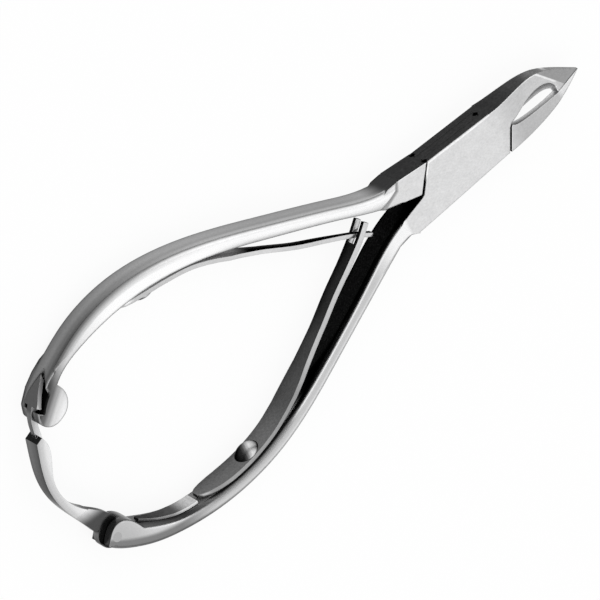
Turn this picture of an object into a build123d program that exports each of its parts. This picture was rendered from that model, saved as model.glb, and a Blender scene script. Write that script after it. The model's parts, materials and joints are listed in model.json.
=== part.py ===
from build123d import *
import os

# Cuticle nipper: two levers crossed in a box joint, a pair of interlocking leaf springs and a
# swing latch across the handle ends. Millimetres. +X runs to the jaw tips, +Y to the upper
# handle, +Z up. The pivot axis passes through the origin and the tool lies on Z = 0.
# Names that end in A belong to the lower handle, which carries the upper jaw, and names that
# end in B to the upper handle, which carries the lower jaw.

# ---- driving dimensions ----
THICK = 5.8                    # depth of the handles and of the box joint
MID = THICK / 2                # middle plane of the tool
TIP_X = 26.0                   # jaw tips, from the pivot
PIN_R = 2.0                    # pivot pin
RUN_GAP = 0.05                 # running clearance, radial and between the cheeks
STEP_GAP = 0.2                 # gap between the rear shoulders of the two levers
FRONT_GAP = 0.5                # gap between their front shoulders
CHEEK = 1.95                   # thickness of each cheek of the box
BLADE_GAP = 0.06               # gap between the closed cutting edges
BAR_ROUND = 1.3                # rounding of the handles' outer edges
LEAF_T = 0.8                   # spring leaf thickness
BLADE_A_T = 1.05               # thickness of the forked leaf's free part
PIT_R = 0.42                   # small pits at the ends of the box's slot
LEAF_GAP = 0.03                # half the gap between the fixed and the free part of a leaf
LEAF_ROOT_W = 5.2              # leaf width under its screw
LEAF_TIP_W = 3.3               # width of the forked tip
TONGUE_W = 1.2                 # tongue that passes through the fork
FORK_W = 1.5                   # slot of the fork
FLEX_X = -48.5                 # where both leaves leave their handles
SCREW_HEAD_R, SCREW_HEAD_H, SCREW_R = 2.75, 1.55, 1.2
SCREW_X_A, SCREW_X_B = -61.6, -65.4
SCREW_Y_A, SCREW_Y_B = -19.98, 19.6   # underside of the screw heads
SCREW_TILT_A, SCREW_TILT_B = 11.0, -4.0   # slope of the leaf under each head
DETENT_T, DETENT_W = 0.55, 3.4
LATCH_PIN = (-90.7, -15.2)     # hinge of the latch
LATCH_PIN_R = 0.9
KNUCKLE_R = 2.6
TONGUE_T = 1.7                 # latch knuckle, in the clevis slot
NECK_W = 1.4                   # latch neck, between the ears of the upper handle
HEAD_T = 1.1                   # arrow head of the latch, on the outside of the handle
SEAT_DEPTH = 1.3               # depth of the head's seat in the handle's end

# ---- outlines, from the rear end towards the jaws ----
OUTER_B = [(-93.3, 12.6), (-92.8, 14.6), (-90.6, 16.95), (-86.0, 19.8), (-80.0, 22.6), (-69.0, 24.45),
           (-55.0, 21.95), (-39.0, 15.3), (-27.0, 9.7), (-18.6, 6.35), (-15.0, 6.0)]
INNER_B = [(-89.0, 14.0), (-85.5, 17.5), (-80.0, 19.4), (-69.0, 20.55), (-55.0, 18.4), (-39.0, 12.0),
           (-27.0, 6.5), (-19.2, 3.0), (-15.0, 2.2)]
OUTER_A = [(-93.0, -15.9), (-91.3, -17.75), (-88.7, -19.6), (-84.8, -21.6), (-80.0, -23.1), (-69.5, -24.45),
           (-55.4, -22.55), (-39.0, -15.2), (-27.0, -8.95), (-18.5, -4.6)]
INNER_A = [(-89.5, -14.5), (-85.0, -17.2), (-80.0, -19.9), (-69.0, -21.45), (-62.5, -21.05), (-56.0, -19.5),
           (-39.0, -11.9), (-29.0, -6.4), (-22.6, -2.75), (-15.8, -0.4)]
LOBE_A = [(-93.0, -15.9), (-91.6, -14.3), (-90.2, -13.3), (-88.8, -13.2), (-87.2, -14.2), (-86.2, -15.7),
          (-85.6, -17.1), (-84.6, -19.0)]
LOBE_A_ROOT = [(-84.5, -20.0), (-88.0, -17.9), (-90.6, -16.6)]
LOBE_B = [(-93.3, 12.6), (-92.6, 11.25), (-91.2, 10.45), (-89.3, 10.65), (-87.8, 11.5), (-86.9, 12.8),
          (-86.6, 14.4), (-87.0, 16.0), (-87.7, 17.2)]
LOBE_B_ROOT = [(-84.5, 18.9), (-81.0, 20.7), (-86.2, 19.35), (-88.3, 18.35), (-90.6, 16.8), (-92.75, 14.55)]
BOSS = [(-8.4 - STEP_GAP, 5.7), (-11.8 - STEP_GAP, 0.85), (-19.2, 2.95), (-21.5, 4.6), (-19.5, 5.3),
        (-17.4, 6.15), (-15.0, 6.3)]
BOSS_DROP = 0.2                # the boss faces lie below the handle's top band
NOSE = [(-15.0, 7.2), (-15.3, 5.9), (-16.1, 4.9), (-17.6, 4.2), (-20.0, 3.6), (-21.5, 2.6)]
REAR_STEP = [(-8.4, 5.7), (-11.8, 0.85)]
FRONT_STEP = [(6.3, -3.6), (8.5, 0.42), (9.1, 0.95)]
JAW_A = [(6.0, 5.55), (14.0, 5.6), (17.4, 5.25), (21.4, 3.35), (TIP_X, 0.06)]
JAW_B = [(6.3, -3.6), (12.6, -3.66), (15.8, -3.42), (18.6, -2.95), (20.8, -2.3), (23.2, -1.35),
         (TIP_X, -0.06)]
GRINDS_A = [(16.0, 4.85, 1.6, 0.25, 0.97, 0.25, 0.11), (18.7, 3.7, 1.28, 0.65, 0.76, 0.2, 0.08),
            (20.75, 1.2, 1.11, 0.95, 0.3, 0.13, 0.04)]
GRINDS_B = [(18.9, -2.75, 1.27, 0.5, -0.87, 0.2, 0.08), (21.0, -1.6, 1.1, 0.9, -0.43, 0.15, 0.04)]
BLADE_ROOT = (20.4, -0.75)     # rear end of the cutting edges
JAW_TAPER = [(3.0, 2.9), (12.0, 2.06), (20.0, 1.15), (TIP_X + 0.2, 0.95)]
LEAF_A = [(FLEX_X, -15.5), (-40.2, -9.35), (-34.5, -5.25), (-29.5, -2.0), (-25.55, 0.85), (-23.25, 2.9)]
LEAF_B = [(FLEX_X, 15.3), (-42.9, 11.25), (-36.7, 7.4), (-30.8, 4.3), (-25.6, 1.4), (-22.7, -0.6)]
SEAT_A = [(-73.7, -20.4), (-71.0, -20.7), (-66.5, -20.85), (-61.5, -20.3), (-55.0, -18.35), (FLEX_X, -15.5)]
SEAT_B = [(-70.2, 20.05), (-66.0, 19.98), (-62.0, 19.55), (-55.0, 17.95), (FLEX_X, 15.3)]
DETENT = [(-85.2, -16.6), (-82.0, -18.6), (-78.0, -20.13), (-74.4, -20.68)]
LATCH_RUN = [(-94.6, 8.7), (-94.3, 10.6), (-93.85, 12.6), (-92.75, 14.7), (-90.6, 16.95), (-88.3, 18.5),
             (-86.0, 19.8)]
SEAT_RUN = [(-92.92, 14.42), (-90.6, 16.95), (-88.3, 18.5), (-86.0, 19.8)]
HEAD_RUN = [(-92.5, 15.05), (-90.6, 16.95), (-88.3, 18.5), (-86.0, 19.8)]
ARM_OUT = [(-95.3, 9.1), (-96.3, 5.6), (-97.1, 1.5), (-96.9, -3.0), (-95.3, -7.8), (-93.1, -13.0)]
ARM_IN = [(-93.95, 9.6), (-93.6, 6.9), (-95.55, 1.4), (-95.5, -2.8), (-93.0, -7.5), (-90.4, -10.2),
          (-88.4, -14.0)]


def shifted(points, distance):
    """Points moved sideways, to the left of the direction of travel."""
    moved = []
    for i, (x, y) in enumerate(points):
        before, after = points[max(i - 1, 0)], points[min(i + 1, len(points) - 1)]
        along = Vector(after[0] - before[0], after[1] - before[1], 0).normalized()
        moved.append((x - along.Y * distance, y + along.X * distance))
    return moved


def face_between(first, second):
    """Flat face between two smooth curves, closed by straight ends."""
    a, b = Spline(*first), Spline(*second)
    return make_face(Wire([a, Line(a @ 1, b @ 1), b, Line(b @ 0, a @ 0)]))


def slab(face, low=0.0, high=THICK):
    """A face in the XY plane made solid between two heights."""
    return Pos(0, 0, low) * extrude(face, high - low)


def side_cut(points, reach=30.0):
    """Solid with an outline in X and Z that runs through the tool along Y."""
    wire = Polyline(*[(x, z) for x, z in points], close=True)
    return extrude(Plane.XZ * make_face(wire), reach, both=True)


def mirrored_profile(points):
    """Side outline that is the same above and below the middle plane: x, half height."""
    return [(x, MID + h) for x, h in points] + [(x, MID - h) for x, h in reversed(points)]


def post(x, y, radius, low=0.0, high=THICK):
    """Upright cylinder."""
    return Pos(x, y, low) * Cylinder(radius, high - low, align=(Align.CENTER, Align.CENTER, Align.MIN))


def edges_near(solid, curve, heights, slack):
    """Edges of a bar that follow a curve at the given heights."""
    found = []
    for edge in solid.edges():
        middle = edge @ 0.5
        if any(abs(middle.Z - z) < 0.01 for z in heights) and edge.length > 20:
            if curve.distance_to(Vector(middle.X, middle.Y, 0)) < slack:
                found.append(edge)
    return found


def handle_bar(outer, inner, crown):
    """Forged handle: rounded outside edges and a wide shallow bevel inside."""
    bar = slab(face_between(outer, inner))
    levels = (0.0, THICK)
    bar = fillet(edges_near(bar, Spline(*outer), levels, 0.4), BAR_ROUND)
    inside = edges_near(bar, Spline(*inner), levels, 0.4)
    flats = [f for f in bar.faces() if abs(f.normal_at().Z) > 0.99]
    for edge in inside:
        flat = min(flats, key=lambda f: abs(f.center().Z - (edge @ 0.5).Z))
        bar = chamfer(edge, crown[1], crown[0], reference=flat)
        flats = [f for f in bar.faces() if abs(f.normal_at().Z) > 0.99]
    return bar


def outline(curve, corners):
    """Face bounded by a smooth curve and by straight lines from its end back to its start."""
    run = Spline(*curve)
    lines = Polyline(run @ 1, *corners, run @ 0)
    return make_face(Wire([run] + lines.edges()))


def lobe(curve, root):
    """Broad rounded end of a handle with softened rims."""
    disc = slab(outline(curve, root))
    rims = [e for e in disc.edges() if e.length > 10 and abs((e @ 0).Z - (e @ 1).Z) < 0.01]
    return fillet(rims, 0.3)


def jaw_envelope():
    """Box and jaws in side view: level box, then thinning to the tips."""
    top = Spline(*[(x, MID + h) for x, h in JAW_TAPER], tangents=((1, 0), (1, -0.12)))
    low = Spline(*[(x, MID - h) for x, h in JAW_TAPER], tangents=((1, 0), (1, 0.12)))
    rear = Polyline(top @ 0, (-25, THICK), (-25, 0), low @ 0)
    wire = Wire([top, Line(top @ 1, low @ 1), low] + rear.edges())
    return extrude(Plane.XZ * make_face(wire), 30, both=True)


def facets(grinds):
    """Cutters for the slanted outer grinds of a blade, above and below the middle plane.

    Each grind starts at x, y and a half height, falls outwards by a slope in the direction
    out_x, out_y, and falls towards the tip as the jaw's own face does.
    """
    cutters = []
    for x, y, height, out_x, out_y, slope, fall in grinds:
        for up in (1, -1):
            normal = Vector(out_x * slope + fall, out_y * slope, up).normalized()
            block = Box(60, 60, 10, align=(Align.CENTER, Align.CENTER, Align.MIN))
            cutters.append(Plane(Vector(x, y, MID + up * height), z_dir=normal) * block)
    return cutters


def relief_holes():
    """Small round pits at the ends of the box's slot, in its upper side."""
    pits = []
    for x, z in ((4.75, MID), (-8.55, MID + 1.9), (-8.55, MID - 1.9)):
        pits.append(Pos(x, 5.7, z) * Rot(90, 0, 0) * Cylinder(PIT_R, 1.4))
    return pits


def hollow(top_curve, low_curve, side):
    """Cutter whose wall leans: one outline above the tool, another below it."""
    faces = []
    for curve, z in ((top_curve, MID + 2.9), (low_curve, MID - 2.9)):
        back = [(curve[-1][0], side * 8.0), (curve[0][0], side * 8.0)]
        faces.append(Pos(0, 0, z) * outline(curve, back))
    return loft(faces, ruled=True)


def bevels(points, size):
    """Cutters for the small bright bevels along an edge line, above and below the tool."""
    cutters = []
    side = size * 2 ** 0.5
    for (x1, y1), (x2, y2) in zip(points, points[1:]):
        run = Vector(x2 - x1, y2 - y1, 0)
        for level in (0.0, THICK):
            frame = Plane(Vector((x1 + x2) / 2, (y1 + y2) / 2, level), x_dir=run, z_dir=(0, 0, 1))
            cutters.append(frame * Rot(45, 0, 0) * Box(run.length, side, side))
    return cutters


def build_lever_a():
    """Lower handle, the two cheeks of the box and the upper jaw."""
    gap = BLADE_GAP / 2
    box = slab(outline(JAW_A, [
        (TIP_X, gap), (BLADE_ROOT[0], BLADE_ROOT[1] + gap), (20.3, -1.5), (12.5, -1.5),
        *reversed(FRONT_STEP), (-9.3, -4.6), (-15.5, -4.95), (-16.1, -4.6), (-17.2, -4.1), (-20.0, -4.6),
        (-31.0, -9.4), (-17.4, -0.95), INNER_A[-1], (-12.2, 0.6), REAR_STEP[1], REAR_STEP[0]]))
    box = box & jaw_envelope()
    box -= bevels([(-15.5, -4.95), (-9.3, -4.6), FRONT_STEP[0]], 0.3)
    box -= bevels([REAR_STEP[0], (6.0, 5.55)], 0.3)
    box -= bevels(REAR_STEP, 0.15)
    wall_top = [(9.1, 1.05), (11.0, 1.6), (14.0, 3.2), (16.0, 4.0), (18.0, 4.15), (19.5, 3.6), (20.35, 1.7)]
    wall_low = [(9.1, 0.85), (11.0, -0.6), (14.0, -1.5), (16.0, -1.6), (18.0, -1.6), (19.5, -1.7),
                (20.35, -1.9)]
    box -= hollow(wall_top, wall_low, -1)
    box -= facets(GRINDS_A)
    passage = make_face(Polyline((-13.5, 1.9), (-11.9, 0.73), (-4.8, -4.52), (-3.4, -5.6), (9.3, -5.6),
                                 (9.3, 0.9), (4.8, 5.67), (3.4, 7.2), (-13.5, 7.2), close=True))
    lever = handle_bar(OUTER_A, INNER_A, (1.05, 0.45)) + lobe(LOBE_A, LOBE_A_ROOT) + box
    lever -= slab(passage, CHEEK, THICK - CHEEK)
    lever -= post(0, 0, PIN_R)
    slot = post(*LATCH_PIN, KNUCKLE_R + 0.3) + Pos(-94.5, -16, MID) * Box(10, 20, THICK)
    lever -= slot & Pos(-92, -16, MID) * Box(20, 30, TONGUE_T + 0.3)
    lever -= relief_holes() + [post(*LATCH_PIN, LATCH_PIN_R)]
    return lever - screw_shank(SCREW_X_A, -1)


def build_lever_b():
    """Upper handle, full-depth boss, thin waist through the box and the lower jaw."""
    gap = BLADE_GAP / 2
    boss = slab(make_face(Polyline(*BOSS, close=True)), BOSS_DROP, THICK - BOSS_DROP)
    bar = handle_bar(OUTER_B, INNER_B, (1.4, 0.5))
    bar -= slab(outline(NOSE, [(-8.0, 1.0), (-8.0, 7.5)]), -1, THICK + 1)
    waist = slab(make_face(Polyline(
        (-8.4, 5.7), (-14.0, 5.0), (-14.0, 2.0), (-11.8, 0.85), (-4.7, -4.4), FRONT_STEP[0], (10.0, -3.2),
        (10.0, -0.4), (9.0, 0.93), (4.7, 5.55), close=True)), CHEEK + RUN_GAP, THICK - CHEEK - RUN_GAP)
    jaw_curve = [(6.3 + FRONT_GAP, -3.6), *JAW_B[1:]]
    jaw = slab(outline(jaw_curve, [(TIP_X, -gap), (BLADE_ROOT[0], BLADE_ROOT[1] - gap), (20.35, 0.2),
                                   (9.4, 0.7), (8.5 + FRONT_GAP, 0.4)]))
    wall_top = [(9.0, 0.9), (9.8, 0.25), (11.5, -0.05), (14.2, -0.15), (18.0, -0.3), (20.45, -0.5)]
    wall_low = [(9.0, 0.5), (9.9, -1.2), (11.5, -2.2), (14.2, -2.55), (18.0, -2.3), (20.45, -1.8)]
    front = (jaw + waist) & jaw_envelope()
    front -= hollow(wall_top, wall_low, 1) & side_cut([(9.05, -1), (20.45, -1), (20.45, 8), (9.05, 8)])
    front -= facets(GRINDS_B)
    lever = bar + lobe(LOBE_B, LOBE_B_ROOT) + boss + front
    lever -= relief_holes() + [post(0, 0, PIN_R + RUN_GAP)]
    lever -= bevels(NOSE, 0.34)
    seat = slab(face_between(shifted(SEAT_RUN, -SEAT_DEPTH), shifted(SEAT_RUN, 3.0)), -1, THICK + 1)
    lever -= seat & seat_profile()
    neck = slab(face_between(shifted(LATCH_RUN, -SEAT_DEPTH - 0.3), shifted(LATCH_RUN, 3.0)), -1, THICK + 1)
    lever -= neck & side_cut(mirrored_profile([(-98.0, NECK_W / 2 + 0.25), (-91.5, NECK_W / 2 + 0.25)]))
    lever -= Pos(-95.0, 13.0, MID) * Box(5.4, 9.0, NECK_W + 0.5)
    return lever - screw_shank(SCREW_X_B, 1)


def head_profile():
    """Side view of the arrow head: nose towards the jaws, the upper barb the longer one."""
    return side_cut([(x, MID + h) for x, h in ((-94.5, 2.3), (-92.0, 2.3), (-88.1, 0.05), (-88.1, -0.05),
                                               (-92.0, -1.7), (-94.5, -1.7))])


def seat_profile():
    """Side view of the seat for the arrow head, open above behind its nose, closed below."""
    return side_cut([(x, MID + h) for x, h in ((-97.0, 3.5), (-90.1, 3.5), (-87.1, 0.1), (-87.1, -0.1),
                                               (-92.1, -1.95), (-97.0, -1.95))])


def screw_shank(x, side, radius=SCREW_R):
    """Shank of a spring screw, from its head into the handle; side is -1 for the lower handle."""
    face_y = side * 19.4
    shank = Cylinder(radius, 3.6, align=(Align.CENTER, Align.CENTER, Align.MIN))
    return Pos(x, face_y, MID) * Rot(-90 * side, 0, 0) * shank


def build_screw(x, side, seat_y, tilt, seat):
    """Domed screw that holds a leaf to its handle; the head lies on the leaf and tilts with it."""
    ball_r = (SCREW_HEAD_R ** 2 + SCREW_HEAD_H ** 2) / (2 * SCREW_HEAD_H)
    dome = Pos(0, 0, SCREW_HEAD_H - ball_r) * Sphere(ball_r)
    dome &= Cylinder(SCREW_HEAD_R, 4, align=(Align.CENTER, Align.CENTER, Align.MIN))
    head = Pos(x, seat_y, MID) * Rot(0, 0, tilt) * Rot(90 * side, 0, 0) * dome
    return head + screw_shank(x, side) - seat


def leaf(points, thickness, widths):
    """Leaf of a spring; widths are pairs of x and full width."""
    half = thickness / 2
    band = slab(face_between(shifted(points, half), shifted(points, -half)), -1, THICK + 1)
    return band & side_cut(mirrored_profile([(x, w / 2) for x, w in widths]))


def build_seat(points, tail):
    """Fixed part of a leaf under its screw, with a rounded tail; tail holds its stations along X."""
    shares = (0.3, 0.56, 0.78, 0.93, 1.0)
    widths = [(x, LEAF_ROOT_W * share) for x, share in zip(tail, shares)]
    return leaf(points, LEAF_T, widths + [(FLEX_X - LEAF_GAP, 4.9)])


def build_blade_a():
    """Free part of the lower leaf, forked at its tip."""
    widths = [(FLEX_X + LEAF_GAP, 4.9), (-46.0, 3.7), (-41.0, 3.1), (-30.0, 3.1), (-26.0, LEAF_TIP_W)]
    blade = leaf(LEAF_A, BLADE_A_T, widths + [(-22.0, LEAF_TIP_W)])
    return blade - Pos(-22.6, 3, MID) * Box(8.4, 12, FORK_W)


def build_blade_b():
    """Free part of the upper leaf, with the tongue that passes through the fork."""
    widths = [(FLEX_X + LEAF_GAP, 4.9), (-46.6, 3.3), (-43.0, 2.3), (-34.0, 1.9), (-28.0, TONGUE_W)]
    return leaf(LEAF_B, LEAF_T, widths + [(-22.0, TONGUE_W)])


def build_latch():
    """Curved latch arm with its hinge knuckle, neck and arrow head."""
    arm = slab(face_between(ARM_OUT, ARM_IN), -1, THICK + 1)
    sides = [(-18.0, TONGUE_T / 2), (-8.3, TONGUE_T / 2), (-8.0, 1.45), (0.0, 1.75), (11.0, 2.0)]
    ring = Polyline(*mirrored_profile(sides), close=True)
    arm &= extrude(Plane.YZ * make_face(ring), 120, both=True)
    arm += post(*LATCH_PIN, KNUCKLE_R, MID - TONGUE_T / 2, MID + TONGUE_T / 2)
    neck = slab(face_between(LATCH_RUN, shifted(LATCH_RUN, -HEAD_T)))
    neck &= side_cut(mirrored_profile([(-97.0, NECK_W / 2), (-90.0, NECK_W / 2)]))
    head = slab(face_between(HEAD_RUN, shifted(HEAD_RUN, -HEAD_T))) & head_profile()
    return (arm + neck + head) - post(*LATCH_PIN, LATCH_PIN_R + RUN_GAP)


def build_parts():
    """All nodes of the nipper by name."""
    seat_a = build_seat(SEAT_A, [-73.65, -73.0, -71.6, -69.6, -67.0])
    seat_a -= screw_shank(SCREW_X_A, -1, SCREW_R + 0.02)
    seat_b = build_seat(SEAT_B, [-70.15, -69.9, -69.4, -68.6, -67.6])
    seat_b -= screw_shank(SCREW_X_B, 1, SCREW_R + 0.02)
    return {
        "lever_lower": build_lever_a(),
        "lever_upper": build_lever_b(),
        "pivot_pin": post(0, 0, PIN_R),
        "spring_lower_seat": seat_a,
        "spring_lower_blade": build_blade_a(),
        "spring_upper_seat": seat_b,
        "spring_upper_blade": build_blade_b(),
        "screw_lower": build_screw(SCREW_X_A, -1, SCREW_Y_A, SCREW_TILT_A, seat_a),
        "screw_upper": build_screw(SCREW_X_B, 1, SCREW_Y_B, SCREW_TILT_B, seat_b),
        "detent_leaf": leaf(DETENT, DETENT_T, [(-90.0, 1.4), (-85.4, 1.4), (-82.5, 2.6), (-79.0, DETENT_W),
                                               (-70.0, DETENT_W)]),
        "latch_arm": build_latch(),
        "latch_pin": post(*LATCH_PIN, LATCH_PIN_R),
    }


if __name__ == "__main__":
    os.makedirs("parts", exist_ok=True)
    for name, part in build_parts().items():
        export_step(part, f"parts/{name}.step")
        box = part.bounding_box()
        print(name, round(part.volume, 2), len(part.solids()), part.is_valid, box.min, box.max)
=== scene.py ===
"""Looks of a cuticle nipper: polished handles, satin box joint, leaf springs and swing latch.

Places and sizes are in millimetres in the tool's own frame, unless a comment says metres: X runs from
the handle ends to the jaw tips, Y from the lower to the upper handle, and Z up from the table. Tones run
from 0, black, to 1, white. A surface is level at 1, where it faces up or down, and upright at 0. Most
tones paint light and shade into the colour: painted reflections, highlights and shade by normal and place.
"""

import json
import logging
import math
from dataclasses import dataclass
from enum import Enum
from typing import Sequence, Union

import bpy
from mathutils import Matrix, Vector
from mathutils.geometry import interpolate_bezier

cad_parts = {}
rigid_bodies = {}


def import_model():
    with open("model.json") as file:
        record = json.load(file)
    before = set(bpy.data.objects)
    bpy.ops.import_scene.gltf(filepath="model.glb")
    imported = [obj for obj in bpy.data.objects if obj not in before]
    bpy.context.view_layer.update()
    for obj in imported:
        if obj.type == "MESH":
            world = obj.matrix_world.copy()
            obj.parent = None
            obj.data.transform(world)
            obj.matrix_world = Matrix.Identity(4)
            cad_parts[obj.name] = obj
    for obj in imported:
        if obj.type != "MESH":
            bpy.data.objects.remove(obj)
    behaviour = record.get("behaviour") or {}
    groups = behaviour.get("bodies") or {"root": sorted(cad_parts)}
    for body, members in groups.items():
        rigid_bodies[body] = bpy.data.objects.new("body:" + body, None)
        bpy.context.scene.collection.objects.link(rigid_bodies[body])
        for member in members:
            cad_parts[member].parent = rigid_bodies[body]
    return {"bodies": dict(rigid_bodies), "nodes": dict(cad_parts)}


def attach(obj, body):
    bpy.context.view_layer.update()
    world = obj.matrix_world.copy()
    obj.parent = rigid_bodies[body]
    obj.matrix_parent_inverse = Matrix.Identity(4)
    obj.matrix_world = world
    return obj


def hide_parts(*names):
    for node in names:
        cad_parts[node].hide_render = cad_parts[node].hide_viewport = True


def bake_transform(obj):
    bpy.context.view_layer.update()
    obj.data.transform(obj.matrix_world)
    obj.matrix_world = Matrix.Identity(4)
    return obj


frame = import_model()

log = logging.getLogger("nipper")
MM = 0.001                          # one millimetre in metres
DEPTH = 5.8                         # depth of the levers
HALF = DEPTH / 2                    # height of the tool's middle plane
MID = DEPTH / 2 * MM                # the same in metres
LATCH_PIN = (-90.7, -15.2)          # middle of the latch pin; the pivot pin stands at 0, 0
PIVOT_SHARP, LATCH_SHARP = 6.0, 2.5     # squared radius round each pin in which edges stay sharp
FRONT_PIT, REAR_PITS = 4.75, -8.55      # pits at the ends of the box's slot along X
PITS_APART = 1.9                    # height of the rear pits over and under the middle plane
PIT_EDGE = (0.36, 0.22)             # squared distances from a pit's middle between which painted shade darkens it
FLEX_X = -48.5                      # place along X where the spring leaves bend
FORK_AT, FORK_BOX = (-22.6, 3.0), (8.4, 12.0)   # middle and size of the slot in the lower leaf's tip
LEAF_BEVEL = 0.07                   # width of the broken edges of a leaf
SHARP = math.radians(50)            # angle from which an edge counts as sharp
LEAF_SHARP = math.radians(35)       # the same on a finished leaf
Stops = tuple[tuple[float, float], ...]         # pairs of place and value, from the lowest place up
Window = tuple[float, float, float, float]      # starts, is whole, is still whole, ends
Line = tuple[tuple[float, float], tuple[float, float]]      # a point, and the direction across the line


class Facing(Enum):
    """Way along Y in which a side or a dome faces."""

    UPPER = 1.0
    LOWER = -1.0


class Mixing(Enum):
    """How two tones are mixed."""

    PLAIN = "MIX"
    TIMES = "MULTIPLY"


class Wire:
    """A shader socket that can be used in Python arithmetic."""

    def __init__(self, bench: "Bench", socket: bpy.types.NodeSocket) -> None:
        """Keeps the socket and the tree it belongs to."""
        self.bench = bench
        self.socket = socket

    def __add__(self, other: "Value") -> "Wire":
        """self + other"""
        return self.bench.math("ADD", self, other)

    def __sub__(self, other: "Value") -> "Wire":
        """self - other"""
        return self.bench.math("SUBTRACT", self, other)

    def __rsub__(self, other: float) -> "Wire":
        """other - self"""
        return self.bench.math("SUBTRACT", other, self)

    def __mul__(self, other: "Value") -> "Wire":
        """self * other"""
        return self.bench.math("MULTIPLY", self, other)

    def __truediv__(self, other: "Value") -> "Wire":
        """self / other"""
        return self.bench.math("DIVIDE", self, other)

    def __rtruediv__(self, other: float) -> "Wire":
        """other / self"""
        return self.bench.math("DIVIDE", other, self)

    def __neg__(self) -> "Wire":
        """-self"""
        return self.bench.math("MULTIPLY", self, -1.0)

    def __abs__(self) -> "Wire":
        """Distance from zero."""
        return self.bench.math("ABSOLUTE", self)

    __radd__ = __add__
    __rmul__ = __mul__


Value = Union[Wire, float, Sequence[float]]


@dataclass
class Bench:
    """Adds nodes to one shader tree.

    Attributes:
        tree: The tree of a material or world.
    """

    tree: bpy.types.NodeTree

    @classmethod
    def empty(cls, owner: bpy.types.ID) -> "Bench":
        """Clears the node tree of a material or world.

        Args:
            owner: The material or world.

        Returns:
            A bench that works on the empty tree.
        """
        owner.use_nodes = True
        owner.node_tree.nodes.clear()
        return cls(owner.node_tree)

    def node(self, kind: str, settings: dict | None = None, inputs: dict | None = None) -> bpy.types.Node:
        """Adds a node.

        Args:
            kind: Blender's type name of the node.
            settings: Properties that are set before the sockets.
            inputs: Values or wires by socket name or index.

        Returns:
            The new node.
        """
        made = self.tree.nodes.new(kind)
        for name, value in (settings or {}).items():
            setattr(made, name, value)
        for name, value in (inputs or {}).items():
            if isinstance(value, Wire):
                self.tree.links.new(value.socket, made.inputs[name])
            else:
                made.inputs[name].default_value = value
        return made

    def wire(self, kind: str, out: str | int, settings: dict | None = None,
             inputs: dict | None = None) -> Wire:
        """Adds a node and returns one of its outputs as a wire."""
        return Wire(self, self.node(kind, settings, inputs).outputs[out])

    def math(self, operation: str, *values: Value) -> Wire:
        """Adds a Math node for wires and numbers."""
        return self.wire("ShaderNodeMath", 0, {"operation": operation}, dict(enumerate(values)))

    def ease(self, value: Wire, low: float, high: float, first: float = 0.0, last: float = 1.0) -> Wire:
        """Smooth step of a value between two limits.

        Args:
            value: The wire that is mapped.
            low: Value at which the step starts.
            high: Value at which the step ends.
            first: Result below the step.
            last: Result above the step.

        Returns:
            The mapped value.
        """
        return self.wire("ShaderNodeMapRange", 0, {"interpolation_type": "SMOOTHSTEP"},
                         {0: value, 1: low, 2: high, 3: first, 4: last})

    def window(self, value: Wire, window: Window) -> Wire:
        """1 inside a window of a value and 0 outside it, with soft flanks."""
        start, whole, still, end = window
        return self.ease(value, start, whole) * self.ease(value, end, still)

    def scale(self, value: Wire, stops: Stops) -> Wire:
        """Grey tone that follows a value through a list of stops.

        Args:
            value: The wire that is mapped.
            stops: Pairs of value and tone, from the lowest value up.

        Returns:
            The tone as a colour.
        """
        low, high = stops[0][0], stops[-1][0]
        node = self.node("ShaderNodeValToRGB", {}, {0: (value - low) / (high - low)})
        points = node.color_ramp.elements
        while len(points) < len(stops):
            points.new(0.5)
        for point, (place, tone) in zip(points, stops):
            point.position = (place - low) / (high - low)
            point.color = (tone, tone, tone, 1.0)
        node.color_ramp.interpolation = "EASE"
        return Wire(self, node.outputs[0])

    def blend(self, first: Value, second: Value, factor: Value, how: Mixing = Mixing.PLAIN) -> Wire:
        """Mixes two colours or grey tones.

        Args:
            first: Colour or tone where the factor is 0.
            second: Colour or tone where the factor is 1.
            factor: Share of the second.
            how: Way of mixing.

        Returns:
            The mixed colour.
        """
        pair = [(c, c, c, 1.0) if isinstance(c, float) else c for c in (first, second)]
        settings = {"data_type": "RGBA", "blend_type": how.value, "clamp_factor": True}
        return self.wire("ShaderNodeMix", 2, settings, {0: factor, 6: pair[0], 7: pair[1]})

    def place(self, scale: Sequence[float], turn: float = 0.0) -> Wire:
        """Object coordinates in millimetres, stretched by a scale and turned about Z."""
        own = self.wire("ShaderNodeTexCoord", "Object")
        return self.wire("ShaderNodeMapping", 0, {}, {0: own, "Rotation": (0, 0, turn),
                                                      "Scale": [s / MM for s in scale]})

    def noise(self, place: Wire, detail: float = 4.0, rough: float = 0.55) -> Wire:
        """Noise between 0 and 1."""
        return self.wire("ShaderNodeTexNoise", 0, {}, {"Vector": place, "Scale": 1.0, "Detail": detail,
                                                       "Roughness": rough})

    def parts(self, vector: Wire) -> tuple[Wire, Wire, Wire]:
        """The three parts of a vector."""
        node = self.node("ShaderNodeSeparateXYZ", {}, {0: vector})
        return tuple(Wire(self, out) for out in node.outputs)


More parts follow.
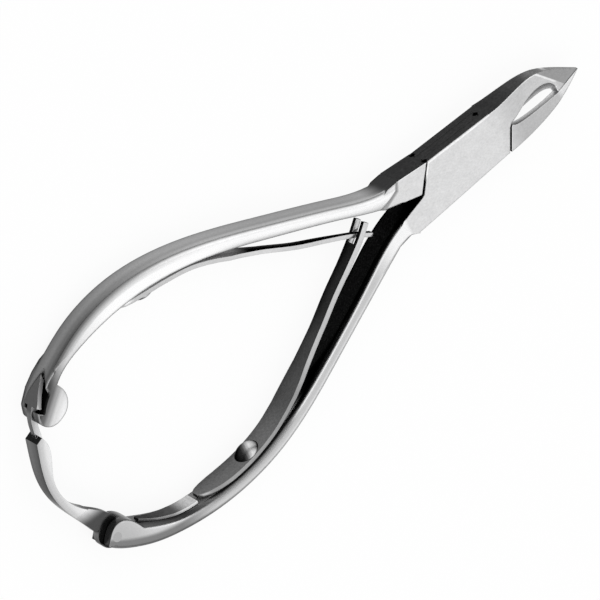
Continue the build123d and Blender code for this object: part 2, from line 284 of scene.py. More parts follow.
@dataclass
class Skin:
    """What every steel finish reads from the surface.

    Attributes:
        bench: Where its nodes are added.
        edge: Radius in metres over which the normal turns round an edge.
    """

    bench: Bench
    edge: Value

    def __post_init__(self) -> None:
        """Adds the nodes for position, normal and grain."""
        bench = self.bench
        self.x, self.y, self.z = bench.parts(bench.place((1, 1, 1)))
        self.rounded = bench.wire("ShaderNodeBevel", 0, {"samples": 8}, {"Radius": self.edge})
        self.nx, self.ny, nz = bench.parts(self.rounded)
        true_level = abs(bench.parts(bench.wire("ShaderNodeNewGeometry", "Normal"))[2])
        self.level = abs(nz) * bench.ease(true_level, 0.15, 0.4)
        self.haze = bench.noise(bench.place((0.16, 0.22, 0.3)), 3.0, 0.5)
        self.cloud = bench.noise(bench.place((0.55, 0.7, 0.9), 0.4), 4.0, 0.6)
        self.pits = bench.noise(bench.place((2.1, 2.6, 2.6), 0.8), 3.0, 0.7)
        self.streak = bench.noise(bench.place((0.35, 5.0, 5.0), 0.25), 5.0, 0.6)
        self.fine = bench.noise(bench.place((3.2, 9.0, 9.0), -0.5), 6.0, 0.65)

    def past(self, line: Line, flip: float = 1.0) -> Wire:
        """Distance past a slanted line in the plan of the tool.

        Args:
            line: The line, with the direction in which the distance grows.
            flip: -1 where Y is mirrored first.

        Returns:
            The distance, negative before the line.
        """
        (x, y), (along_x, along_y) = line
        return (self.x - x) * along_x + (self.y * flip - y) * along_y

    def broad(self, radius: float) -> Wire:
        """Y part of the normal where edges are rounded over a wide radius."""
        normal = self.bench.wire("ShaderNodeBevel", 0, {"samples": 12}, {"Radius": radius * MM})
        return self.bench.parts(normal)[1]


@dataclass(frozen=True)
class Steel:
    """Base of all finishes of the nipper: real grain and roughness, with light and shade painted into the
    colour.

    Attributes:
        name: Name of the material.
        edge: Radius over which tones turn round an edge.
        glance: Grey of the reflections at a glancing angle.
        rough: Roughness of polished faces.
        grain: Strength of the polishing marks.
        satin: Share of satin grinding, from 0 to 1.
    """

    name: str
    edge: float = 0.12
    glance: float = 0.4
    rough: float = 0.16
    grain: float = 1.0
    satin: float = 0.0

    def radius(self, bench: Bench) -> Value:
        """Radius of the softened edges in metres."""
        return self.edge * MM

    def tone(self, skin: Skin) -> Wire:
        """Colour of the steel."""
        raise NotImplementedError

    def matt(self, skin: Skin) -> Value:
        """Share of satin grinding at each place."""
        return self.satin

    def metallic(self, skin: Skin) -> Value:
        """Share of mirror reflection, from 0 to 1."""
        return 1.0

    @staticmethod
    def speck(skin: Skin, matt: Value) -> Wire:
        """Small changes of tone from the grinding, stronger on satin and on upright faces.

        Args:
            skin: The surface's place, normal and grain.
            matt: Share of satin grinding.

        Returns:
            Factor round 1 for the colour.
        """
        upright = 1.0 - skin.level
        fine = 0.10 + 0.16 * matt + upright * (0.15 + 0.4 * matt)
        cloud = 0.06 + 0.16 * matt
        pits = 0.16 + 0.2 * matt + upright * (0.2 + 0.75 * matt)
        return 1.0 + (skin.fine - 0.5) * fine + (skin.cloud - 0.5) * cloud + (skin.pits - 0.5) * pits

    def build(self) -> bpy.types.Material:
        """Makes the material.

        Returns:
            A metal whose colour, roughness and normal follow the surface.
        """
        material = bpy.data.materials.new(self.name)
        bench = Bench.empty(material)
        skin = Skin(bench, self.radius(bench))
        matt = self.matt(skin)
        marks = abs(skin.streak - 0.5)
        tone = bench.blend(self.tone(skin), 0.5, marks * (0.14 * self.grain))
        speck = self.speck(skin, matt)
        tint = bench.wire("ShaderNodeCombineXYZ", 0, {}, {0: speck, 1: speck, 2: speck * 1.004})
        tone = bench.blend(tone, tint, 1.0, Mixing.TIMES)
        rough = (self.rough + (skin.haze - 0.5) * (0.08 * self.grain) + marks * (0.2 * self.grain)
                 + (0.2 + (skin.fine - 0.5) * 0.25) * matt)
        height = skin.streak * 0.5 + skin.fine * (0.3 + 0.5 * matt)
        bump = bench.wire("ShaderNodeBump", 0, {}, {"Strength": 0.12 * self.grain, "Distance": 0.02 * MM,
                                                    "Height": height, "Normal": skin.rounded})
        steel = bench.node("ShaderNodeBsdfPrincipled", {}, {
            "Base Color": tone, "Metallic": self.metallic(skin), "Normal": bump,
            "Roughness": bench.math("MAXIMUM", rough, 0.05), "Specular Tint": (*(self.glance,) * 3, 1.0)})
        bench.node("ShaderNodeOutputMaterial", {}, {0: Wire(bench, steel.outputs[0])})
        return material


@dataclass(frozen=True)
class LeverSteel(Steel):
    """Polished handle, satin box and ground jaw of one lever, with painted reflections, highlights and shade
    in its tones.

    Attributes:
        outward: Way in which the handle's outer side faces.
        outer: Painted reflection tones of the outer side by height above the table.
        rear_outer: The same near the handle's end.
        band: Painted reflection tones of the flat top from the inner bevel to the flat, by how level it is.
        rear_band: The same near the handle's end.
        inside: Painted reflection and shade tones of the upright inner side by X.
        end_tones: Painted reflection tones of the flat end by distance from its outer edge.
        box: Painted reflection tones of the box by how level it is.
        jaw: Painted reflection tones of the jaw by how level it is.
        jaw_side: Painted reflection tones of the jaw's upright sides by X.
        wall: Painted shade tones of the hollow behind the cutting edge by height.
        painted_shine: Tone of the painted highlight on the level stretch ahead of the box.
        slot_shade_tone: Tone of the painted shade on the faces between the cheeks of the box.
        step_shade_tone: Tone of the painted shade on the step at the rear of the box.
        gap_shade_tone: Tone of the painted shade in pits and narrow gaps.
        rim: Radius over which tones turn round an edge of the box.
        box_from: Where the box starts along X.
        end_from: Where the flat end starts along X.
        end_edge: Outer edge of the flat end, with Y counted outwards.
        step: Extent of the step along X.
        seam: Extent of the seam under the jaws along X.
        hollow: Extent of the hollow along X.
    """

    outward: Facing = Facing.UPPER
    outer: Stops = ()
    rear_outer: Stops = ()
    band: Stops = ()
    rear_band: Stops = ()
    inside: Stops = ()
    end_tones: Stops = ()
    box: Stops = ((0.0, 0.044), (0.4, 0.05), (0.62, 0.85), (0.93, 0.92), (0.99, 0.74), (1.0, 0.72))
    jaw: Stops = ((0.0, 0.045), (0.35, 0.05), (0.55, 0.85), (0.9, 0.86), (0.965, 0.6), (0.98, 0.57),
                  (1.0, 0.62))
    jaw_side: Stops = ((10.0, 0.045), (14.5, 0.07), (18.0, 0.22), (22.0, 0.42))
    wall: Stops = ((0.8, 0.9), (2.2, 0.75), (3.2, 0.52), (3.9, 0.36), (4.4, 0.27))
    painted_shine: float = 0.92
    slot_shade_tone: float = 0.03
    step_shade_tone: float = 0.1
    gap_shade_tone: float = 0.003
    rim: float = 0.36
    box_from: float = -15.3
    end_from: float = -83.0
    end_edge: Line = ((-91.5, 15.8), (0.66, -0.75))
    step: Window = (-12.2, -12.0, -8.5, -8.3)
    seam: Window = (6.0, 6.3, 9.1, 9.3)
    hollow: Window = (8.9, 9.4, 20.3, 20.6)

    @staticmethod
    def away(first: Wire, second: Wire) -> Wire:
        """Square of the distance from a point."""
        return first * first + second * second

    def radius(self, bench: Bench) -> Value:
        """Broad softened edges on the handle, narrow ones on the box, none round the flush pins.

        Args:
            bench: Where the nodes are added.

        Returns:
            The radius in metres.
        """
        x, y, _ = bench.parts(bench.place((1, 1, 1)))
        size = bench.ease(x, self.box_from - 1.0, self.box_from, self.edge * MM, self.rim * MM)
        pivot = self.away(x, y) - PIVOT_SHARP
        latch = self.away(x - LATCH_PIN[0], y - LATCH_PIN[1]) - LATCH_SHARP
        return bench.ease(bench.math("MINIMUM", pivot, latch), 0.0, 2.0) * size

    def side(self, skin: Skin) -> Wire:
        """How far the surface faces outwards, or backwards at the handle's end."""
        return skin.ny * self.outward.value - skin.nx * skin.bench.ease(-skin.x, 80.0, 92.0)

    def across(self, skin: Skin) -> Wire:
        """Distance from the outer edge of the flat end."""
        return skin.past(self.end_edge, self.outward.value)

    def inner_edge(self, skin: Skin, band: Wire) -> Wire:
        """Tones of the flat top with what the lever shows along its inner edge."""
        return band

    def rear_end(self, skin: Skin, tone: Wire) -> Wire:
        """Tones of the handle with what the lever shows at its end."""
        return tone

    def tip(self, skin: Skin, tone: Wire) -> Wire:
        """Tones of the jaw with what the lever shows at its tip."""
        return tone

    def handle(self, skin: Skin) -> Wire:
        """Painted reflection, highlight and shade tones of the polished handle and its flat end.

        Args:
            skin: The surface's place, normal and grain.

        Returns:
            The tone of the handle.
        """
        bench = skin.bench
        rear = bench.ease(-skin.x, 48.0, 84.0)
        far_rear = bench.ease(-skin.x, 72.0, 90.0)
        # Painted highlight on the level stretch ahead of the box.
        ahead = bench.ease(skin.x, -28.0, -20.0) * bench.ease(skin.level, 0.8, 0.9)
        on_top = bench.ease(skin.level, 0.12, 0.35)
        on_outside = bench.ease(self.side(skin), 0.03, 0.16)
        on_end = bench.ease(skin.x, self.end_from, self.end_from - 6.0) * bench.ease(skin.level, 0.6, 0.9)
        outer = bench.blend(bench.scale(skin.z, self.outer), bench.scale(skin.z, self.rear_outer), rear)
        band, rear_band = bench.scale(skin.level, self.band), bench.scale(skin.level, self.rear_band)
        band = bench.blend(bench.blend(band, rear_band, far_rear), self.painted_shine, ahead)
        band = self.inner_edge(skin, band)
        tone = bench.blend(bench.scale(skin.x, self.inside), band, on_top)
        tone = bench.blend(tone, outer, on_outside)
        tone = bench.blend(tone, bench.scale(self.across(skin), self.end_tones), on_end)
        return self.rear_end(skin, tone)

    def pits(self, skin: Skin) -> Wire:
        """1 in the small pits at the ends of the box's slot, where painted shade darkens them.

        Args:
            skin: The surface's place, normal and grain.

        Returns:
            The mask.
        """
        bench = skin.bench
        rear = self.away(skin.x - REAR_PITS, abs(skin.z - HALF) - PITS_APART)
        front = self.away(skin.x - FRONT_PIT, skin.z - HALF)
        inside = bench.ease(bench.math("MINIMUM", rear, front), *PIT_EDGE)
        return inside * bench.ease(skin.y, 3.9, 4.2)

    def front(self, skin: Skin) -> Wire:
        """Painted reflection and shade tones of the box and the jaw.

        Args:
            skin: The surface's place, normal and grain.

        Returns:
            The tone of the front.
        """
        bench = skin.bench
        upright = bench.ease(skin.level, 0.4, 0.2)
        on_jaw = bench.ease(skin.x, 4.0, 11.0)
        on_side = bench.ease(skin.level, 0.5, 0.3) * bench.ease(skin.x, 9.0, 10.0)
        # Painted shade on the faces between the cheeks of the box.
        slot = bench.ease(abs(skin.z - HALF), 1.7, 1.5) * bench.ease(skin.x, 9.0, 8.5)
        cheeks = slot * bench.ease(skin.level, 0.1, 0.3)
        # Painted shade on the upright step at the rear of the box.
        step = bench.window(skin.x, self.step) * bench.ease(skin.y, 5.65, 5.5) * upright
        # Painted shade in the seam under the jaws, in the crotch between the levers and in the pits.
        seam = bench.window(skin.x, self.seam) * bench.ease(skin.y, 0.95, 0.85) * upright
        crotch = bench.ease(-skin.x, 9.5, 10.5) * bench.ease(skin.ny * -self.outward.value, 0.1, 0.3)
        # Painted shade in the hollow behind the cutting edge, darker higher up.
        hollow = (bench.window(skin.x, self.hollow) * bench.ease(abs(skin.ny), 0.3, 0.5)
                  * bench.ease(abs(skin.y - 0.9), 3.6, 3.3))
        tone = bench.blend(bench.scale(skin.level, self.box), bench.scale(skin.level, self.jaw), on_jaw)
        tone = bench.blend(tone, self.slot_shade_tone, cheeks)
        tone = bench.blend(tone, bench.scale(skin.x, self.jaw_side), on_side)
        tone = bench.blend(tone, self.step_shade_tone, step)
        tone = bench.blend(tone, self.gap_shade_tone, bench.math("MAXIMUM", crotch, seam))
        tone = bench.blend(tone, self.gap_shade_tone, self.pits(skin))
        tone = bench.blend(tone, bench.scale(skin.z, self.wall), hollow)
        return self.tip(skin, tone)

    def matt(self, skin: Skin) -> Value:
        """Box and jaw are satin."""
        return skin.bench.ease(skin.x, self.box_from - 0.4, self.box_from + 0.4)

    def metallic(self, skin: Skin) -> Value:
        """Mirror reflection, less of it on the side under the spring leaf.

        Args:
            skin: The surface's place, normal and grain.

        Returns:
            Share of mirror reflection.
        """
        bench = skin.bench
        inner = bench.ease(skin.ny * -self.outward.value, 0.4, 0.7) * bench.ease(skin.level, 0.3, 0.15)
        return 1.0 - inner * bench.ease(-skin.x, 47.0, 52.0) * 0.8

    def tone(self, skin: Skin) -> Wire:
        """Colour along the whole lever."""
        box = skin.bench.ease(skin.x + (skin.haze - 0.5) * 0.4, self.box_from - 0.4, self.box_from + 0.4)
        return skin.bench.blend(self.handle(skin), self.front(skin), box)


@dataclass(frozen=True)
class ForkedSteel(LeverSteel):
    """Lever whose handle ends in the latch's fork, and whose jaw has a slanted grind at its tip.

    Attributes:
        lip: Extent of the soft shade along the inner edge.
        lip_width: Width of that shade.
        lip_tone: Its tone.
        corner: Chord of the rounded outer corner at the handle's end.
        arc: Middle of that corner along X, its rise over the chord, and its bend.
        corner_shade_tone: Tone of the painted shade on that corner.
        fork_shade_tone: Tone of the painted shade on the sides of the fork.
        grind: Line where the slanted grind starts.
        facet_shade_tone: Tone of the painted shade on the slanted grind.
        ridge_highlight_tone: Tone of the painted highlight along the line before the grind.
    """

    outward: Facing = Facing.LOWER
    lip: Window = (-78.0, -70.0, -54.0, -49.0)
    lip_width: float = 2.2
    lip_tone: float = 0.2
    corner: Line = ((-80.0, -23.1), (0.428, 0.904))
    arc: tuple[float, float, float] = (-85.6, 0.7, 0.022)
    corner_shade_tone: float = 0.22
    fork_shade_tone: float = 0.02
    grind: Line = ((17.39, 5.55), (0.79, 0.612))
    facet_shade_tone: float = 0.34
    ridge_highlight_tone: float = 0.86

    def inner_edge(self, skin: Skin, band: Wire) -> Wire:
        """Adds the soft shade along the inner edge.

        Args:
            skin: The surface's place, normal and grain.
            band: Tone of the flat top.

        Returns:
            The shaded tone.
        """
        bench = skin.bench
        turned = bench.ease(skin.broad(self.lip_width), 0.12, 0.4)
        lip = bench.math("MAXIMUM", turned, bench.ease(skin.level, 0.78, 0.6))
        return bench.blend(band, self.lip_tone, lip * bench.window(skin.x, self.lip))

    def rear_end(self, skin: Skin, tone: Wire) -> Wire:
        """Adds the painted shade on the rounded outer corner and in the fork.

        Args:
            skin: The surface's place, normal and grain.
            tone: Tone of the handle.

        Returns:
            The tone with both.
        """
        bench = skin.bench
        middle, rise, bend = self.arc
        off = skin.x - middle
        inwards = skin.past(self.corner) + rise - off * off * bend
        top, upright = bench.ease(skin.level, 0.5, 0.9), bench.ease(skin.level, 0.6, 0.4)
        # Painted shade on the rounded corner at the handle's end and in the fork.
        corner = bench.ease(inwards, 2.5, 1.6) * bench.ease(-skin.x, 71.0, 80.0) * top
        fork = bench.ease(skin.y, -18.0, -15.5) * bench.ease(-skin.x, 85.0, 87.0) * upright
        return bench.blend(bench.blend(tone, self.corner_shade_tone, corner), self.fork_shade_tone, fork)

    def tip(self, skin: Skin, tone: Wire) -> Wire:
        """Adds the painted shade on the slanted grind and the painted highlight along the line before it.

        Args:
            skin: The surface's place, normal and grain.
            tone: Tone of the jaw.

        Returns:
            The tone with both.
        """
        bench = skin.bench
        past = skin.past(self.grind)
        # Painted shade on the slanted grind and a painted highlight along the line before it.
        ahead = bench.ease(past, 0.1, 0.22) * bench.ease(skin.x, 16.6, 18.2)
        facet = ahead * bench.ease(skin.level, 0.5, 0.7)
        line = bench.ease(abs(past - 0.02), 0.26, 0.08) * bench.ease(skin.x, 15.5, 17.5)
        ridge = line * bench.ease(skin.level, 0.6, 0.8) * bench.ease(skin.y, 1.0, 1.5)
        return bench.blend(bench.blend(tone, self.facet_shade_tone, facet), self.ridge_highlight_tone, ridge)


@dataclass(frozen=True)
class NosedSteel(LeverSteel):
    """Lever whose handle ends in a rounded nose on the boss of the box.

    Attributes:
        ahead: Edge of the box ahead of the nose.
        beside: Edge of the box beside the nose.
        shade_width: Width of the soft shade along the inner edge.
        shade_tone: Tone of that shade.
        gutter_shade_tone: Tone of the painted shade in the gutter round the nose.
        seat: Extent of the arrow head's seat along X.
        seat_shade_tone: Tone of the painted shade in the seat.
        tip_highlight_tone: Tone of the painted highlight on the jaw's tip.
    """

    ahead: Line = ((-16.1, 4.9), (0.902, -0.431))
    beside: Line = ((-16.1, 4.9), (0.392, -0.92))
    shade_width: float = 3.2
    shade_tone: float = 0.36
    gutter_shade_tone: float = 0.36
    seat: Window = (-93.0, -92.8, -86.8, -86.3)
    seat_shade_tone: float = 0.006
    tip_highlight_tone: float = 0.8

    def rear_end(self, skin: Skin, tone: Wire) -> Wire:
        """Adds the painted shade in the arrow head's seat.

        Args:
            skin: The surface's place, normal and grain.
            tone: Tone of the handle.

        Returns:
            The tone with the seat.
        """
        bench = skin.bench
        # Painted shade in the recessed seat of the arrow head.
        recess = bench.ease(self.across(skin), 0.55, 0.8) * bench.ease(self.side(skin), 0.3, 0.5)
        return bench.blend(tone, self.seat_shade_tone, recess * bench.window(skin.x, self.seat))

    def tip(self, skin: Skin, tone: Wire) -> Wire:
        """Adds the painted highlight on the jaw's tip."""
        # Painted highlight on the level faces of the jaw's tip.
        light = skin.bench.ease(skin.x, 19.8, 21.2) * skin.bench.ease(skin.level, 0.6, 0.8)
        return skin.bench.blend(tone, self.tip_highlight_tone, light)

    def tone(self, skin: Skin) -> Wire:
        """Colour along the whole lever, with the painted shade in the gutter round the nose.

        Args:
            skin: The surface's place, normal and grain.

        Returns:
            The tone of the lever.
        """
        bench = skin.bench
        past = bench.math("MAXIMUM", skin.past(self.ahead), skin.past(self.beside))
        top = bench.ease(skin.level, 0.15, 0.35)
        flank = bench.ease(skin.x, -22.0, -17.0)
        box = bench.blend(flank, bench.ease(past, 0.1, 0.45) * bench.ease(skin.x, -23.5, -22.5), top)
        turned = bench.ease(-skin.broad(self.shade_width), 0.02, 0.62)
        shade = turned * bench.ease(skin.x, -54.0, -44.0) * bench.ease(skin.level, 0.7, 0.9)
        # Painted shade in the gutter round the nose.
        round_nose = bench.ease(abs(past - 0.12), 0.55, 0.1) * top
        gutter = round_nose * bench.ease(skin.x, -24.0, -22.0) * bench.ease(skin.x, -8.0, -13.0)
        tone = bench.blend(self.handle(skin), self.shade_tone, shade)
        tone = bench.blend(tone, self.front(skin), box)
        return bench.blend(tone, self.gutter_shade_tone, gutter)


@dataclass(frozen=True)
class LeafSteel(Steel):
    """Spring leaf with painted shade on its broad faces and painted highlights on its narrow edges.

    Attributes:
        face: Painted reflection and shade tones of the broad faces by X.
        rim: Painted highlight tones of the narrow edges by X.
        soft: How far the faces under the screw scatter light.
    """

    edge: float = 0.08
    glance: float = 0.3
    satin: float = 0.6
    face: Stops = ((-76.0, 0.15), (-58.0, 0.135), (-50.0, 0.075), (-43.0, 0.05), (-36.0, 0.02),
                   (-22.0, 0.004))
    rim: Stops = ((-76.0, 0.2), (-71.0, 0.3), (-67.0, 0.36), (-50.0, 0.33), (-43.0, 0.52), (-22.0, 0.66))
    soft: float = 0.0

    def metallic(self, skin: Skin) -> Value:
        """Mirror reflection, less of it on the faces under the screw."""
        return 1.0 - skin.bench.ease(-skin.x, 46.0, 51.0) * skin.bench.ease(skin.level, 0.5, 0.3) * self.soft

    def tone(self, skin: Skin) -> Wire:
        """Colour of the leaf, with its painted shade and highlights."""
        faces, rims = skin.bench.scale(skin.x, self.face), skin.bench.scale(skin.x, self.rim)
        return skin.bench.blend(faces, rims, skin.bench.ease(skin.level, 0.35, 0.7))


@dataclass(frozen=True)
class LatchSteel(Steel):
    """Polished latch arm with painted shade from its outer edge to its inner edge.

    Attributes:
        outer_x: Outermost place of the arm along X.
        bend: How fast the outer edge bends away from there.
        top: Painted reflection tones of the top by distance from the outer edge.
        flank: Painted reflection tones of the flanks by height.
        knuckle_shade_tone: Tone of the painted shade on the top near the hinge.
        inner_shade_tone: Tone of the painted shade on the flanks that face the upper handle.
        head_tones: Tones of the upright and the level faces of the arrow head, the upright ones painted dark
            as shade.
    """

    edge: float = 0.1
    outer_x: float = -97.1
    bend: float = 0.024
    top: Stops = ((-0.2, 0.42), (0.7, 0.6), (1.8, 0.8), (3.2, 0.95))
    flank: Stops = ((0.0, 0.14), (2.0, 0.21), (3.4, 0.17), (4.6, 0.12))
    knuckle_shade_tone: float = 0.075
    inner_shade_tone: float = 0.012
    head_tones: tuple[float, float] = (0.1, 0.5)

    def tone(self, skin: Skin) -> Wire:
        """Colour of the latch, with painted reflections and shade.

        Args:
            skin: The surface's place, normal and grain.

        Returns:
            The tone of arm and head.
        """
        bench = skin.bench
        across = skin.x - self.outer_x - skin.y * skin.y * self.bend
        knuckle = bench.ease(-skin.y, 7.4, 11.0)
        inner = bench.ease(skin.ny, 0.5, 0.8)
        on_top = bench.ease(skin.level, 0.35, 0.8)
        top = bench.blend(bench.scale(across, self.top), self.knuckle_shade_tone, knuckle)
        flank = bench.blend(bench.scale(skin.z, self.flank), self.inner_shade_tone, inner)
        head = bench.blend(*self.head_tones, bench.ease(skin.level, 0.3, 0.7))
        return bench.blend(bench.blend(flank, top, on_top), head, self.head(skin))

    def head(self, skin: Skin) -> Wire:
        """1 on the arrow head."""
        return skin.bench.ease(skin.y, 13.5, 14.5)

    def metallic(self, skin: Skin) -> Value:
        """Mirror reflection, less of it on the head's level faces."""
        return 1.0 - self.head(skin) * skin.bench.ease(skin.level, 0.3, 0.6) * 0.9


@dataclass(frozen=True)
class PlainSteel(Steel):
    """Finish of a flush pin, with painted light on its level faces.

    Attributes:
        tones: Painted reflection tones by how level the surface is.
    """

    edge: float = 0.0
    tones: Stops = ((0.0, 0.3), (1.0, 0.7))

    def tone(self, skin: Skin) -> Wire:
        """Colour of the piece, painted lighter where it is level."""
        return skin.bench.scale(skin.level, self.tones)


@dataclass(frozen=True)
class DomeSteel(Steel):
    """Mirror dome of a spring screw with a painted dark crescent and a painted bright spot of reflection.

    Attributes:
        tones: Painted reflection tones by the direction that the dome faces, from the handle's end to the
            jaws.
    """

    edge: float = 0.05
    rough: float = 0.28
    tones: Stops = ((-0.6, 0.002), (-0.34, 0.015), (-0.2, 0.06), (-0.09, 0.2), (0.03, 0.5), (0.15, 0.72),
                    (0.28, 0.62), (0.4, 0.42), (0.5, 0.2), (0.6, 0.06))

    def tone(self, skin: Skin) -> Wire:
        """Colour by the direction the dome faces, a painted reflection."""
        nz = skin.bench.parts(skin.rounded)[2]
        return skin.bench.scale(skin.nx * 0.8 + nz * 0.3, self.tones)


@dataclass
class Carried:
    """CAD node that keeps its shape and gets a finish.

    Attributes:
        node: Name of the node.
        finish: Its finish.
    """

    node: str
    finish: Steel

    def dress(self) -> None:
        """Gives the node its finish."""
        slots = frame["nodes"][self.node].data.materials
        slots.clear()
        slots.append(self.finish.build())
        log.info("%s carries %s", self.node, self.finish.name)


@dataclass
class SpringScrew:
    """Domed screw that holds a spring leaf.

    Attributes:
        node: CAD node that the screw stands for.
        body: CAD body that it rides on.
        foot: Middle of the head's underside, in X and Y.
        facing: Way in which the dome faces.
        tilt: Slope of the leaf under the head in degrees.
        finish: Finish of the dome.
        radius: Radius of the head.
        height: Height of the dome.
        rim: Height of the straight rim under the dome.
        rings: Rings from the rim to the top of the dome.
        corners: Corners of a ring.
    """

    node: str
    body: str
    foot: tuple[float, float]
    facing: Facing
    tilt: float
    finish: Steel
    radius: float = 2.42
    height: float = 1.35
    rim: float = 0.16
    rings: int = 9
    corners: int = 56

    def profile(self) -> list[tuple[float, float]]:
        """Rings of the dome, a part of a ball on a straight rim.

        Returns:
            Radius and height of each ring, from the rim up.
        """
        rise = self.height - self.rim
        ball = (self.radius ** 2 + rise ** 2) / (2 * rise)
        reach = math.asin(self.radius / ball)
        angles = [reach * (1 - ring / self.rings) for ring in range(1, self.rings)]
        dome = [(ball * math.sin(angle), self.height - ball * (1 - math.cos(angle))) for angle in angles]
        return [(self.radius, self.rim), *dome]

    def build(self) -> bpy.types.Object:
        """Models the head from a disc that is extruded ring by ring.

        Returns:
            The finished piece at its place.
        """
        bpy.ops.object.select_all(action="DESELECT")
        bpy.ops.mesh.primitive_circle_add(vertices=self.corners, radius=self.radius * MM, fill_type="NGON")
        piece = bpy.context.object
        piece.name = self.node + "_dome"
        bpy.ops.object.mode_set(mode="EDIT")
        bpy.ops.mesh.select_all(action="SELECT")
        width, level = self.radius, 0.0
        for new_width, new_level in self.profile():
            share, lift = new_width / width, (new_level - level) * MM
            bpy.ops.mesh.extrude_region_move(TRANSFORM_OT_translate={"value": (0, 0, lift)})
            bpy.ops.transform.resize(value=(share, share, 1.0))
            width, level = new_width, new_level
        bpy.ops.mesh.poke()
        bpy.ops.mesh.select_all(action="SELECT")
        bpy.ops.mesh.normals_make_consistent(inside=False)
        bpy.ops.object.mode_set(mode="OBJECT")
        bpy.ops.object.shade_smooth_by_angle(angle=SHARP)
        upright = Matrix.Rotation(math.radians(-90.0 * self.facing.value), 4, "X")
        turn = Matrix.Rotation(math.radians(self.tilt), 4, "Z") @ upright
        piece.matrix_world = Matrix.Translation((self.foot[0] * MM, self.foot[1] * MM, MID)) @ turn
        bpy.ops.object.transform_apply(location=True, rotation=True, scale=True)
        return piece

    def dress(self) -> None:
        """Gives the screw its finish and its place in the frame."""
        piece = self.build()
        piece.data.materials.append(self.finish.build())
        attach(piece, self.body)
        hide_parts(self.node)
        log.info("%s stands for %s", piece.name, self.node)


